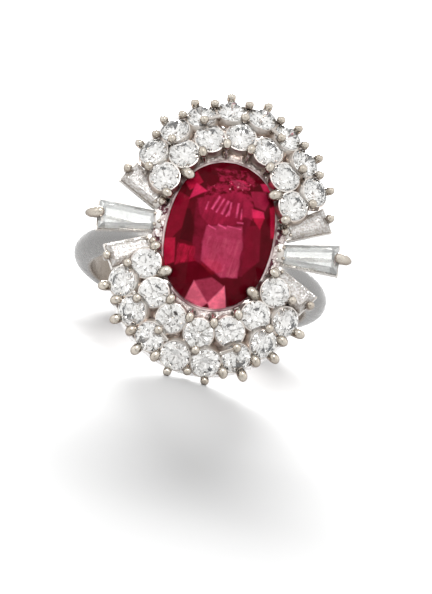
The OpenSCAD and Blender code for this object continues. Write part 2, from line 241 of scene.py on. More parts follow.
# %% [markdown]
# ## Patterns in the ring's own directions
#
# Some finishes change from place to place: the band is painted darker than the head as shade, and the
# ruby has a paler window under its table, painted light. A Mapping node turns Object coordinates into
# worn millimetres, and a polygon is then a mask, made from one plane for each of its sides.

# %% Finishes that know the ring
TO_WORN = AXES.to_3x3().transposed()


class RingFinish(Finish):
    """A finish with patterns drawn in the ring's own directions."""

    def __init__(self, name):
        super().__init__(name)
        at = self.node("TexCoord", {}, {}, "Object")
        self.worn = self.node("Mapping", {}, {
            "Vector": at,
            "Location": TO_WORN @ HOLE_MIDDLE / -MM,
            "Rotation": TO_WORN.to_euler(),
            "Scale": (1 / MM, 1 / MM, 1 / MM),
        })

    def along(self, axis):
        """One worn coordinate, by the name of its axis."""
        return self.node("SeparateXYZ", {}, {"Vector": self.worn}, axis)

    def stretched(self, scale, turn):
        """Worn millimetres, scaled along X, Y and Z after a turn about Z."""
        turned = self.node("Mapping", {}, {"Vector": self.worn, "Rotation": (0, 0, turn)})
        return self.node("Mapping", {}, {"Vector": turned, "Scale": scale})

    def polygon(self, corners, soft, place=None):
        """A mask, 1 inside a convex polygon seen along the stone's axis."""
        middle = sum((Vector(c) for c in corners), Vector((0, 0))) / len(corners)
        inside = None
        for here, after in zip(corners, corners[1:] + corners[:1]):
            side = Vector(after) - Vector(here)
            inward = Vector((-side.y, side.x)).normalized()
            if inward.dot(middle - Vector(here)) < 0:
                inward = -inward
            depth = self.node("VectorMath", {"operation": "DOT_PRODUCT"}, {
                0: place or self.worn,
                1: (inward.x, inward.y, 0),
            }, "Value") - inward.dot(Vector(here))
            inside = depth if inside is None else self.math("MINIMUM", inside, depth)
        return self.spread(inside, -soft, soft)


print("patterns are turned by", round(math.degrees(TO_WORN.to_euler().x), 1), "degrees about X")

# %% [markdown]
# ## White gold
#
# Worn white gold has lost some of its bright plating, so it is a warm grey with beige patches. A metal
# is coloured by its Base Color alone. Two noises vary the colour and the roughness, and two more give
# it the soft dents and the fine scratches of a ring that has been worn for years. The worn colour and
# the worn relief are helpers, because more than one finish uses them. A darker colour is painted on
# the flanks of a claw or a collet as shade, mixed in where the surface turns away from the head's
# front.

# %% White gold
PATCH = 1.6
SMEAR = 0.5
DENT = 0.7
SCRATCH = 0.09
BRUSHED = (1, 0.25, 1)
# How far a surface still faces the head's front where the painted shade begins, and where it is
# complete.
TURNS_AWAY = (0.65, 0.25)


def worn_colour(f, bright, dull):
    """Bright plating with dull patches where it has worn off."""
    return f.mix(f.spread(f.noise(PATCH), 0.4, 0.7), bright, dull)


def worn_relief(f, scratched):
    """Soft dents with fine scratches on them."""
    dents = f.bump(f.noise(DENT), distance=0.05, strength=0.3)
    scratches = f.noise(SCRATCH, f.place(BRUSHED), detail=2.0)
    return f.bump(scratches, distance=0.01, strength=scratched, over=dents)


def make_white_gold(name, bright, dull, smooth, rough, flank_shade=None):
    """A metal from its colours where bright and dull, its least and greatest roughness, and painted
    shade on its flanks.
    """
    f = Finish(name)
    colour = worn_colour(f, bright, dull)
    if flank_shade:
        # Painted shade: a darker colour where the surface turns away from the head's front.
        normal = f.node("NewGeometry", {}, {}, "Normal")
        facing = f.node("VectorMath", {"operation": "DOT_PRODUCT"}, {0: normal, 1: OUTWARD}, "Value")
        colour = f.mix(f.spread(facing, *TURNS_AWAY), colour, flank_shade)
    return f.surface(
        Base_Color=colour,
        Metallic=1.0,
        Roughness=f.spread(f.noise(SMEAR, detail=5.0), 0.3, 0.7, smooth, rough),
        Normal=worn_relief(f, 0.25),
    )


print("dull patches", PATCH, "mm, dents", DENT, "mm, scratches", SCRATCH, "mm")

# %% [markdown]
# ### The plain finishes of the metal
#
# The claw ends are the most worn and are beige. The collets are bright, the rim round the ruby has the
# ruby's red reflection and shade painted into its colour, and the openwork behind is painted darker
# as shade. One finish with masks could do all this, but five calls of one helper are easier to read.

# %% Plain white golds
SATIN_GREY = (0.64, 0.61, 0.58, 1)
SATIN_BEIGE = (0.54, 0.49, 0.44, 1)
CLAW_BEIGE = (0.62, 0.57, 0.5, 1)
CLAW_BROWN = (0.5, 0.44, 0.37, 1)
CLAW_FLANK_SHADE = (0.3, 0.25, 0.21, 1)
COLLET_PALE = (0.8, 0.77, 0.73, 1)
COLLET_DULL = (0.58, 0.51, 0.46, 1)
COLLET_FLANK_SHADE = (0.55, 0.47, 0.42, 1)
RIM_PINK_REFLECTION = (0.6, 0.5, 0.49, 1)
RIM_RUBY_SHADE = (0.22, 0.12, 0.13, 1)
GALLERY_SHADE_BROWN = (0.5, 0.42, 0.38, 1)
GALLERY_SHADE_DARK = (0.34, 0.26, 0.23, 1)

white_gold = make_white_gold("white_gold", SATIN_GREY, SATIN_BEIGE, 0.16, 0.34)
claw_gold = make_white_gold("claw_gold", CLAW_BEIGE, CLAW_BROWN, 0.15, 0.32, CLAW_FLANK_SHADE)
collet_gold = make_white_gold("collet_gold", COLLET_PALE, COLLET_DULL, 0.25, 0.45, COLLET_FLANK_SHADE)
# The rim's pink and dark maroon patches are the ruby's painted reflection and painted shade.
rim_gold = make_white_gold("rim_gold", RIM_PINK_REFLECTION, RIM_RUBY_SHADE, 0.45, 0.65)
# The openwork's browns are painted shade of the gallery's depth.
shaded_gallery_gold = make_white_gold("shaded_gallery_gold", GALLERY_SHADE_BROWN, GALLERY_SHADE_DARK, 0.3, 0.5)
print("nodes in a plain finish:", len(white_gold.node_tree.nodes))

# %% [markdown]
# ### The setting's own finish
#
# The band is a grey painted darker as shade, with a brownish inside that is painted shade too, the head
# is satin, and the rails round the head are polished. The setting is one solid with one material, so its
# finish goes by place: the height in worn millimetres tells the band from the head, and the distance
# from the finger's middle tells its inside.

# %% Setting
BAND_SHADE_GREY = (0.32, 0.315, 0.31, 1)
BAND_INSIDE_SHADE = (0.29, 0.247, 0.208, 1)
POLISHED = (0.93, 0.92, 0.91, 1)
# Where a change begins and where it is complete.
INTO_BAND = (9.5, 8.0)
INTO_INSIDE = (8.75, 8.55)
INTO_RAIL = (11.3, 11.4)
INTO_RAIL_FROM_ABOVE = (11.95, 11.85)
FINGER_PLANE = (1, 0, 1)


def make_setting_gold():
    f = RingFinish("setting_gold")
    height = f.along("Z")
    flat = f.node("VectorMath", {"operation": "MULTIPLY"}, {0: f.worn, 1: FINGER_PLANE})
    reach = f.node("VectorMath", {"operation": "LENGTH"}, {0: flat}, "Value")
    band = f.spread(height, *INTO_BAND)
    inside = f.spread(reach, *INTO_INSIDE)
    rail = f.spread(height, *INTO_RAIL) * f.spread(height, *INTO_RAIL_FROM_ABOVE)
    colour = worn_colour(f, SATIN_GREY, SATIN_BEIGE)
    # Painted shade: the band darker than the head, and its inside browner still.
    colour = f.mix(band, colour, BAND_SHADE_GREY)
    colour = f.mix(band * inside, colour, BAND_INSIDE_SHADE)
    colour = f.mix(rail, colour, POLISHED)
    return f.surface(
        Base_Color=colour,
        Metallic=1.0,
        Roughness=f.spread(f.noise(SMEAR, detail=2.0), 0.3, 0.7, 0.18, 0.34),
        Normal=worn_relief(f, 0.05),
    )


setting_gold = make_setting_gold()
give(nodes["setting"], setting_gold)
print(setting_gold.name, "with", len(setting_gold.node_tree.nodes), "nodes")

# %% [markdown]
# ### The collar's own finish
#
# The collar beside the ruby was stippled with a punch, so it glitters in grains and never mirrors as
# one surface. Real pits would take very many faces, so one noise does them all: it varies the colour,
# the roughness and the relief together. A second noise adds darker flecks. The dark red patches at the
# collar's two sides are the ruby's shade on it.

# %% Collar
COLLAR_PALE = (0.92, 0.86, 0.83, 1)
COLLAR_GREY = (0.58, 0.5, 0.47, 1)
COLLAR_FLECK = (0.4, 0.32, 0.31, 1)
RUBY_SHADE = (0.1, 0.035, 0.045, 1)
INTO_SIDES = (3.5, 4.2)
STIPPLE = 0.2
FLECK = 0.26
SHADE_PATCH = 0.45


def make_collar_gold():
    f = RingFinish("collar_gold")
    sides = f.spread(f.math("ABSOLUTE", f.along("X"), 0), *INTO_SIDES)
    shade = sides * f.spread(f.noise(SHADE_PATCH), 0.5, 0.56)
    stipple = f.noise(STIPPLE)
    flecks = f.spread(f.noise(FLECK), 0.46, 0.54)
    colour = f.mix(f.spread(stipple, 0.4, 0.6), COLLAR_PALE, COLLAR_GREY)
    colour = f.mix(flecks * 0.7, colour, COLLAR_FLECK)
    colour = f.mix(shade, colour, RUBY_SHADE)
    return f.surface(
        Base_Color=colour,
        Metallic=1.0,
        Roughness=f.spread(stipple, 0.3, 0.7, 0.35, 0.55),
        Normal=f.bump(stipple, 0.14),
    )


collar_gold = make_collar_gold()
print(collar_gold.name, "with", len(collar_gold.node_tree.nodes), "nodes")

# %% [markdown]
# ## Diamonds
#
# A round diamond is clear glass with a very high index of refraction, and its facets do the rest. The
# baguettes are flat and full of light, and a flat glass bar would show hard black lines. They are part
# glass and part pale body, whose pale colour is painted light. The short ones are full of flaws and
# sparkle like ice, so they are less clear, their sparkle is painted as pale and brown grains that lie
# close together in them, and a fine bump breaks up their facets.

# %% Diamond
DIAMOND_IOR = 2.42
DIAMOND_WHITE = (1.0, 0.99, 0.965, 1)
DIAMOND_WARM = (0.98, 0.965, 0.935, 1)
# The baguettes' pale body colours are painted light, and the icy grains are painted sparkle.
CLEAR_PALE = (0.9, 0.91, 0.89, 1)
CLEAR_GREY = (0.7, 0.715, 0.7, 1)
ICY_PALE = (0.93, 0.9, 0.87, 1)
ICY_BROWN = (0.46, 0.4, 0.35, 1)
LONG_BAGUETTES = ("baguette_01", "baguette_04")
# The sizes of the marks in the stones, and the depth of the ripples on a baguette.
TINT = 1.1
STONE_SMEAR = 0.4
CLOUD = 0.9
SPARKLE_GRAIN = 0.17
RIPPLE = 0.15
RIPPLE_DEPTH = 0.06


def polished(f, smear):
    """The roughness of a polished stone with faint smears."""
    return f.spread(f.noise(smear), 0.45, 0.75, 0.0, 0.03)


def make_diamond():
    f = Finish("diamond")
    return f.surface(
        Base_Color=f.mix(f.spread(f.noise(TINT), 0.3, 0.7), DIAMOND_WHITE, DIAMOND_WARM),
        Roughness=polished(f, STONE_SMEAR),
        IOR=DIAMOND_IOR,
        Transmission_Weight=1.0,
    )


def make_baguette(name, pale, shade, clear, flaws):
    f = RingFinish(name)
    clouds = f.spread(f.noise(CLOUD, f.worn), 0.35, 0.65)
    # Pale and brown grains of painted sparkle.
    grains = f.spread(f.noise(SPARKLE_GRAIN, f.worn, 2.0, 0.6), 0.45, 0.55)
    return f.surface(
        Base_Color=f.mix(clouds * 0.3 + grains * 0.7, pale, shade),
        Roughness=f.spread(clouds, 0, 1, 0.02, 0.12),
        Normal=f.bump(f.noise(RIPPLE, f.worn, 2.0), RIPPLE_DEPTH, flaws),
        IOR=DIAMOND_IOR,
        Transmission_Weight=clear,
    )


diamond = make_diamond()
clear_baguette = make_baguette("clear_baguette", CLEAR_PALE, CLEAR_GREY, clear=0.78, flaws=0.06)
icy_baguette = make_baguette("icy_baguette", ICY_PALE, ICY_BROWN, clear=0.45, flaws=0.9)
for name, node in nodes.items():
    if "diamond" in name:
        give(node, diamond)
    if "baguette" in name:
        give(node, clear_baguette if name in LONG_BAGUETTES else icy_baguette)
print("round diamonds:", sum("diamond" in name for name in nodes))

# %% [markdown]
# ## Ruby
#
# A ruby of this kind is not clean inside: it holds fine silk and bright feathers. A wide window under
# the table, its flat top, is paler, painted light, and streaked with the silk, the feathers lie above
# the window, and the ends of the stone are a very deep red, painted shade where little light comes
# back. Glass alone would give one even red, so the finish mixes glass with a body whose colour is
# drawn in the ring's own directions. Each area is a polygon, given by its corners in millimetres. A
# veil says how an area inside the stone is filled.

# %% Colours and areas of the ruby
# The deep reds at the ends are painted shade, the window pinks painted light, and the kite facets' pinks
# painted reflections.
DEEP_RED = (0.075, 0.0006, 0.004, 1)
WINE_RED = (0.11, 0.001, 0.008, 1)
BLACK_RED = (0.05, 0.0005, 0.003, 1)
DUSK_RED = (0.19, 0.004, 0.019, 1)
CRIMSON = (0.2, 0.006, 0.026, 1)
SIDE_RED = (0.22, 0.003, 0.018, 1)
VEIL_RED = (0.34, 0.012, 0.048, 1)
BRIGHT_RED = (0.46, 0.008, 0.041, 1)
STAR_RED = (0.72, 0.021, 0.1, 1)
WINDOW_PINK = (0.39, 0.034, 0.086, 1)
FEATHER_PINK = (0.9, 0.1, 0.26, 1)
FLECK_PINK = (0.95, 0.4, 0.45, 1)
KITE_PINK = (0.35, 0.032, 0.07, 1)
PALE_PINK = (0.76, 0.13, 0.21, 1)
BRIGHT_PINK = (0.98, 0.18, 0.28, 1)

# What lies inside the stone and the painted light of its window, with bent outlines: its veil, its
# colour and its corners.
BODY_AND_WINDOW = [
    ("cloudy", CRIMSON, [
        (-2.35, 2.1), (0.9, 3.35), (1.9, 2.6), (2.3, -2.9), (0.7, -3.5), (-1.3, -2.75), (-1.95, -1.3)]),
    ("mottled", VEIL_RED, [(-1.7, 3.5), (1.5, 4.2), (2.0, 2.9), (-1.9, 2.3)]),
    ("silky", VEIL_RED, [
        (-2.3, 2.1), (0.87, 3.35), (1.43, 1.66), (1.22, 0.77), (-1.09, 0.28), (-1.83, 0.82)]),
    ("even", VEIL_RED, [(0.9, 3.3), (1.9, 2.6), (2.1, 1.4), (1.35, 1.5)]),
    ("silky", BRIGHT_RED, [(-2.94, -1.57), (-1.62, -1.64), (-1.33, -2.7), (-2.78, -3.11)]),
    ("mottled", VEIL_RED, [(-1.42, 4.89), (0.8, 5.3), (1.9, 4.4), (1.31, 3.65), (-0.79, 3.35)]),
    ("mottled", STAR_RED, [(-0.5, 4.2), (0.9, 4.5), (1.45, 3.9), (0.24, 3.5)]),
    ("cloudy", WINDOW_PINK, [(-0.2, 4.15), (0.75, 4.35), (1.3, 3.85), (0.5, 3.5)]),
    ("flecked", FLECK_PINK, [(-1.9, 3.5), (1.7, 4.3), (1.8, 3.8), (-1.6, 2.9)]),
    ("even", WINDOW_PINK, [
        (-1.16, 0.19), (1.38, 0.74), (1.78, -0.5), (1.92, -3.13), (0.71, -3.45), (-0.93, -2.6),
        (-1.2, -1.2)]),
    ("streaked", PALE_PINK, [(-0.9, -0.6), (1.6, -0.3), (1.8, -3.1), (0.7, -3.4), (-0.8, -2.5)]),
]
# Thin bright planes, each with its two ends and its width.
FEATHERS = [
    ((-1.05, 1.5), (-0.68, 2.6), 0.14),
    ((-0.7, 1.35), (-0.32, 2.5), 0.1),
    ((-0.26, 1.3), (0.03, 2.42), 0.16),
    ((0.1, 1.2), (0.32, 2.0), 0.08),
    ((0.27, 1.3), (0.25, 2.36), 0.1),
    ((0.86, 1.3), (0.8, 2.43), 0.13),
    ((1.22, 1.27), (1.13, 2.05), 0.07),
    ((-1.5, 1.37), (-1.44, 1.99), 0.08),
    ((-1.05, 0.22), (-0.45, 0.05), 0.07),
    ((-0.35, 0.45), (0.3, 0.3), 0.1),
    ((0.35, 0.5), (1.4, 0.5), 0.07),
    ((1.0, 0.95), (1.45, 1.0), 0.08),
]
# The facets of the crown that catch light or dark, with sharp outlines.
FACETS = [
    (DUSK_RED, [(1.75, 0.76), (2.79, 1.26), (3.31, -1.39), (2.19, -2.94)]),
    (SIDE_RED, [(-3.88, 2.65), (-2.82, 2.05), (-2.93, -0.37), (-3.6, -1.4), (-4.5, -1.4), (-4.5, 0.78)]),
    (BRIGHT_RED, [(-4.5, -1.3), (-3.23, -1.16), (-2.87, -2.97), (-3.6, -3.4), (-4.5, -2.5)]),
    (BLACK_RED, [(-2.87, 1.2), (-2.62, 1.2), (-2.06, -0.04), (-1.93, -1.4), (-2.9, -1.24)]),
    (BRIGHT_RED, [(-3.39, 3.34), (-2.74, 4.4), (-2.12, 3.51), (-2.94, 2.73)]),
    (STAR_RED, [(-2.85, 2.0), (-1.7, 2.8), (-2.6, 3.4)]),
    (VEIL_RED, [(1.5, 3.6), (2.63, 4.05), (3.08, 3.3), (2.88, 2.5), (2.03, 2.5)]),
    (BRIGHT_RED, [(1.95, 1.9), (2.93, 1.88), (2.8, 0.9), (2.2, 1.4)]),
    (STAR_RED, [(1.85, 2.25), (2.79, 2.36), (2.95, 1.9), (2.04, 1.58)]),
    (BRIGHT_RED, [(3.2, 2.88), (3.6, 3.28), (4.5, 1.02), (3.76, 0.64)]),
    (STAR_RED, [(2.1, 4.51), (2.8, 4.9), (3.1, 4.16), (2.45, 4.04)]),
    (KITE_PINK, [(0.1, -3.6), (-1.15, -4.12), (0.26, -5.35), (1.18, -4.0)]),
    (PALE_PINK, [(-1.13, -4.1), (-1.45, -5.4), (-0.15, -5.8), (0.26, -5.35)]),
    (BRIGHT_PINK, [(1.17, -3.98), (0.26, -5.35), (0.58, -5.8), (1.7, -5.35)]),
]
print("areas drawn in the ruby:", len(BODY_AND_WINDOW) + len(FEATHERS) + len(FACETS))

# %% [markdown]
# ### The ruby's finish
#
# The areas are mixed over each other in turn: first what lies inside with the window's painted light,
# then the thin feathers, then the facets that catch light or dark. A noise bends the outlines of what
# lies inside, so that no straight edge shows there, and leaves the facets sharp. Gloss on the crown
# would hide the drawing, so only the pavilion, which is all below the stone's widest line, has a coat
# that mirrors.

# %% Ruby
RUBY_IOR = 1.45
RUBY_COAT_IOR = 1.77
LETS_THROUGH = (0.9, 0.02, 0.45, 1)
ABSORPTION = 2500.0
INTO_PAVILION = (13.1, 13.0)
SILK_STRETCH = (3.2, 0.45, 1)
SILK_TURN = 0.12
# How far outlines are bent and how closely, and how softly they end.
BEND = 0.3
BENDS_PER_MM = 1.1
BLURRED = 0.07
SHARP = 0.06
# The sizes of the marks in it.
BLOTCH = 0.5
MOTTLE = 0.4
PINK_FLECK = 0.2
DARK_CLOUD = 0.7
RUBY_SMEAR = 0.6


def strip(start, end, width):
    """The corners of a thin straight strip."""
    start, end = Vector(start), Vector(end)
    side = (end - start).orthogonal().normalized() * width / 2
    return [start - side, end - side, end + side, start + side]


def make_ruby():
    f = RingFinish("ruby")
    # The colour of a noise is three values, one to bend each direction.
    wobble = f.node("VectorMath", {"operation": "SCALE"}, {
        0: f.node("TexNoise", {}, {"Vector": f.worn, "Scale": BENDS_PER_MM, "Detail": 2.0}, "Color"),
        "Scale": BEND,
    })
    bent = f.node("VectorMath", {"operation": "ADD"}, {
        0: f.worn,
        1: f.node("VectorMath", {"operation": "ADD"}, {0: wobble, 1: (-BEND / 2, -BEND / 2, 0)}),
    })
    clouds = f.spread(f.noise(CLOUD, f.worn, 4.0, 0.6), 0.35, 0.65)
    silk = f.noise(1, f.stretched(SILK_STRETCH, SILK_TURN), 4.0, 0.65)
    patchy = f.spread(f.noise(BLOTCH, f.worn, 3.0, 0.6), 0.35, 0.6, 0.4, 1.0)
    veils = {
        "even": 1.0,
        "cloudy": clouds * 0.7 + 0.3,
        "silky": f.spread(silk, 0.38, 0.62, 0.3, 1.0),
        "streaked": f.spread(silk, 0.45, 0.7, 0.0, 0.35),
        "mottled": f.spread(f.noise(MOTTLE, bent, 3.0, 0.6), 0.42, 0.58),
        "flecked": f.spread(f.noise(PINK_FLECK, bent, 2.0, 0.6), 0.64, 0.7),
    }
    deep_clouds = f.spread(f.noise(DARK_CLOUD, bent, 5.0, 0.7), 0.42, 0.62, 0.3, 0.0)
    # The deep red base shows at the stone's ends as painted shade.
    colour = f.mix(clouds, DEEP_RED, WINE_RED)
    for veil, tint, corners in BODY_AND_WINDOW:
        colour = f.mix(f.polygon(corners, BLURRED, bent) * veils[veil], colour, tint)
    for start, end, width in FEATHERS:
        colour = f.mix(f.polygon(strip(start, end, width), SHARP) * patchy, colour, FEATHER_PINK)
    for tint, corners in FACETS:
        colour = f.mix(f.polygon(corners, SHARP), colour, tint)
    colour = f.mix(deep_clouds, colour, DEEP_RED)
    absorption = f.node("VolumeAbsorption", {}, {"Color": LETS_THROUGH, "Density": ABSORPTION})
    f.tree.links.new(absorption.socket, f.output.inputs["Volume"])
    return f.surface(
        Base_Color=colour,
        Roughness=polished(f, RUBY_SMEAR),
        IOR=RUBY_IOR,
        Transmission_Weight=0.1,
        Specular_IOR_Level=0.02,
        Coat_Weight=f.spread(f.along("Z"), *INTO_PAVILION),
        Coat_IOR=RUBY_COAT_IOR,
    )


ruby = make_ruby()
give(nodes["ruby"], ruby)
print("nodes in the ruby's finish:", len(ruby.node_tree.nodes))

# %% [markdown]
# ## Where the round stones sit
#
# The round diamonds lie side by side on ovals, one pitch apart. Equal angles on an oval don't give
# equal pitches, so the next stone is found by walking along it. A seat is the place of one stone: a
# matrix whose X runs outwards in the stone's own plane, Y sideways and Z up its axis. Whatever
# carries the stone is then made once about that axis and moved to every seat.

# %% Seats on the ovals
FIRST_GUESS = math.radians(15)
TRIES = 8


class Oval:
    """An oval on which one tier of stones sits, in millimetres."""

    def __init__(self, half_width, half_length, height, tilt, turn):
        self.half_width = half_width
        self.half_length = half_length
        self.height = height
        self.tilt = math.radians(tilt)
        self.turn = math.radians(turn)

    def place(self, t):
        """The point of the oval at an angle t, which is 0 at its end."""
        return Vector((self.half_width * math.sin(t), self.half_length * math.cos(t)))

    def seat(self, t, half):
        """The matrix of the stone at t, in the upper half, 0, or the lower half, 1."""
        turn = Matrix.Rotation(self.turn + math.pi * half, 2)
        place = turn @ self.place(t)
        out = turn @ Vector((math.sin(t) / self.half_width, math.cos(t) / self.half_length))
        facing = math.atan2(out.y, out.x)
        return (
            Matrix.Translation((place.x, place.y, self.height))
            @ Matrix.Rotation(facing, 4, "Z")
            @ Matrix.Rotation(self.tilt, 4, "Y")
        )

    def walk(self, t, pitch, steps):
        """Angles of stones one pitch apart, each found by closing in on it."""
        angles = [t]
        for _ in range(steps):
            gap = FIRST_GUESS
            for _ in range(TRIES):
                gap *= pitch / (self.place(angles[-1] + gap) - self.place(angles[-1])).length
            angles.append(angles[-1] + gap)
        return angles


INNER_PITCH = 2.34
OUTER_PITCH = 2.36
DIAMOND_R = 1.1
HALVES = (0, 1)
inner_oval = Oval(half_width=5.53, half_length=7.83, height=13.46, tilt=12, turn=1)
outer_oval = Oval(half_width=7.4, half_length=9.88, height=12.87, tilt=34, turn=0)
inner_walk = inner_oval.walk(0, INNER_PITCH, 3)
outer_walk = outer_oval.walk(math.asin(OUTER_PITCH / 2 / outer_oval.half_width), OUTER_PITCH, 3)
inner_ts = [-t for t in inner_walk[:0:-1]] + inner_walk
outer_ts = [-t for t in outer_walk[::-1]] + outer_walk
seats = [inner_oval.seat(t, half) for half in HALVES for t in inner_ts]
seats += [outer_oval.seat(t, half) for half in HALVES for t in outer_ts]
print("round stones:", len(seats))

# %% [markdown]
# ## Turning small parts
#
# Collets, claws and grains are all turned parts. They could be stacked from cones and balls, but those
# would cut into each other, and a turned outline gives one closed skin. One helper spins a closed
# outline about the Z axis and moves the result into place, and another makes a finished mesh a piece
# of the ring. The spin merges its ends and its poles, and the normals are recalculated after that.

# %% Turning and finishing
MERGE = 0.0005
CREASE = math.radians(40)


def lathe(mesh, outline, place, steps):
    """Spins a closed outline of (radius, height) in millimetres and moves it to a place."""
    before = set(mesh.verts)
    verts = [mesh.verts.new((radius, 0, height)) for radius, height in outline]
    # An edge on the axis itself would make no face, so it is left out.
    edges = [
        mesh.edges.new((verts[i - 1], verts[i])) for i in range(len(verts))
        if outline[i - 1][0] or outline[i][0]
    ]
    bmesh.ops.spin(
        mesh, geom=verts + edges, cent=(0, 0, 0), axis=(0, 0, 1), dvec=(0, 0, 0),
        angle=math.tau, steps=steps, use_merge=True, use_normal_flip=False, use_duplicate=False,
    )
    new = [v for v in mesh.verts if v not in before]
    bmesh.ops.remove_doubles(mesh, verts=new, dist=MERGE)
    new = [v for v in mesh.verts if v not in before]
    bmesh.ops.transform(mesh, matrix=place, verts=new)


def put_in_scene(name, mesh, material):
    """Makes an object from a mesh that is already in the scene's metres."""
    data = bpy.data.meshes.new(name)
    mesh.to_mesh(data)
    mesh.free()
    placed = bpy.data.objects.new(name, data)
    bpy.context.scene.collection.objects.link(placed)
    give(placed, material)
    return placed


def finish_piece(name, mesh, material):
    """Moves a mesh from worn millimetres into the scene and makes it a piece of the ring."""
    bmesh.ops.transform(mesh, matrix=WORN, verts=mesh.verts)
    bmesh.ops.recalc_face_normals(mesh, faces=mesh.faces)
    piece = put_in_scene(name, mesh, material)
    piece.data.shade_smooth()
    piece.data.set_sharp_from_angle(angle=CREASE)
    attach(piece, "root")
    print(name, len(piece.data.polygons), "faces")
    return piece


print("points closer than", MERGE, "mm are merged")

# %% [markdown]
# ## Collets
#
# Under each round stone is a collet, a small cone of metal with a lip just below the stone's edge. Its
# skirt meets the skirts of its neighbours, so that metal shows between the stones and not the table.
# A jeweller makes them all alike, so one outline is turned at every seat.

# %% Collets under the round stones
COLLET_STEPS = 32
COLLET = [
    (1.02, -0.12), (1.1, -0.045), (1.19, -0.06), (1.23, -0.2), (1.36, -0.52), (1.34, -0.62),
    (1.05, -0.6), (0.86, -0.86), (0.74, -0.86), (0.78, -0.66), (0.9, -0.4),
]
collets = bmesh.new()
for seat in seats:
    lathe(collets, COLLET, seat, COLLET_STEPS)
finish_piece("collets", collets, collet_gold)

# %% [markdown]
# ## Claws
#
# Each claw is a short wire whose end was pushed over the stone and rounded to a ball. A ball on a
# cylinder would show a ring where they meet. So it is turned as one shape, from the ball down the wire,
# and is laid along the line from its foot to its tip.

# %% One claw
CLAW_STEPS = 18
CLAW = [
    (0, 0.34), (0.14, 0.32), (0.25, 0.25), (0.325, 0.14), (0.35, 0.0), (0.345, -0.16),
    (0.325, -0.34), (0.3, -0.55), (0.27, -0.8), (0.2, -1.15), (0.12, -1.25), (0, -1.25),
]
UPRIGHT = Vector((0, 0, 1))


def claw_along(mesh, rise, tip, size=1.0, outline=CLAW, stretch=Matrix.Identity(4)):
    """A claw with its rounded end at the tip and its wire running down against the rise."""
    turn = rise.to_track_quat("Z", "Y").to_matrix().to_4x4()
    sized = [(size * radius, size * height) for radius, height in outline]
    lathe(mesh, sized, Matrix.Translation(tip) @ stretch @ turn, CLAW_STEPS)


print("a claw is", round(CLAW[0][1] - CLAW[-1][1], 2), "mm long")

# %% [markdown]
# ### Every claw in its place
#
# An outer stone has a claw at its far side and shares one with each neighbour, and all of them rise
# from the rail below. The inner stones have upright claws, and the ones beside the ruby are pressed
# towards it. Every place is worked out from the seats, so a claw stays with its stone. The claws of
# the lower half are longer, but not the ones that the ring rests on, because they end at the table.

# %% Where the claws are
# How far the rail's middle is from the head's, its radius and its height.
OUTER_RAIL = (3.31, 7.11, 11.6)


def rise_from_rail(tip, half):
    """The direction from the nearest place on the outer rail to a tip, in one half."""
    centre_y, rail_r, rail_z = OUTER_RAIL
    centre = Vector((0, centre_y * (1 - 2 * half)))
    foot = centre + (tip.xy - centre).normalized() * rail_r
    return (tip - Vector((foot.x, foot.y, rail_z))).normalized()


# Tips in their seats: outwards, sideways and up.
OUTER_TIP = Vector((DIAMOND_R + 0.2, 0, 0.27))
SHARED_TIP = Vector((0.74, 0, 0.24))
INNER_TIP = Vector((DIAMOND_R + 0.18, 0, 0.66))
END_SHIFTS = {0: Vector((0, 0.06, 0)), len(inner_ts) - 1: Vector((0, -0.06, 0))}
COLLAR_TIP = Vector((-0.8, 0, 0.3))
COLLAR_END_TIPS = (Vector((-0.8, 1.1, 0.26)), Vector((-0.8, -1.1, 0.26)))
print("outer claws:", len(HALVES) * (2 * len(outer_ts) - 1), "inner claws:", len(HALVES) * len(inner_ts))

# %% Claws over the round stones
# How far a claw is pushed up along itself, its size, and how far it is stretched outwards.
SHORT_CLAW = (0, 0.93, 1.0)
LONG_CLAW = (0.12, 1.08, 1.3)
RESTS_BELOW = 0.8
PRESSED = 1.3
PRESSED_IN = 0.12

claws = bmesh.new()
collar_claws = []
for half in HALVES:
    outer_tips = [outer_oval.seat(t, half) @ OUTER_TIP for t in outer_ts]
    for before, after in zip(outer_ts, outer_ts[1:]):
        outer_tips.append(outer_oval.seat((before + after) / 2, half) @ SHARED_TIP)
    for tip in outer_tips:
        rests = (WORN @ tip).z < RESTS_BELOW * MM
        push, size, length = SHORT_CLAW if half == 0 or rests else LONG_CLAW
        rise = rise_from_rail(tip, half)
        longer = Matrix.Scale(length, 4, Vector((rise.x, rise.y, 0)).normalized())
        claw_along(claws, rise, tip + push * rise, size, stretch=longer)
    for number, t in enumerate(inner_ts):
        tip = INNER_TIP + END_SHIFTS.get(number, Vector())
        claw_along(claws, UPRIGHT, inner_oval.seat(t, half) @ tip)
    for before, after in zip(inner_ts[1:-2], inner_ts[2:-1]):
        collar_claws.append(inner_oval.seat((before + after) / 2, half) @ COLLAR_TIP)
    for t, tip in zip((inner_ts[0], inner_ts[-1]), COLLAR_END_TIPS):
        collar_claws.append(inner_oval.seat(t, half) @ tip)
for tip in collar_claws:
    inwards = -Vector((tip.x, tip.y, 0)).normalized()
    pressed = Matrix.Scale(PRESSED, 4, inwards)
    claw_along(claws, UPRIGHT, tip + PRESSED_IN * inwards, stretch=pressed)
finish_piece("claws", claws, claw_gold)

# %% [markdown]
# ## Rings that follow the ruby
#
# The ruby's outline is an oval of four arcs. A curve with a profile could follow it, but one of the
# rings has to reach further out in some places than in others. So each ring starts as a turned ring of
# radius 1, and then every point moves to the same angle on the oval, as far outside it as the point was
# outside 1. A helper may change that reach by the angle.

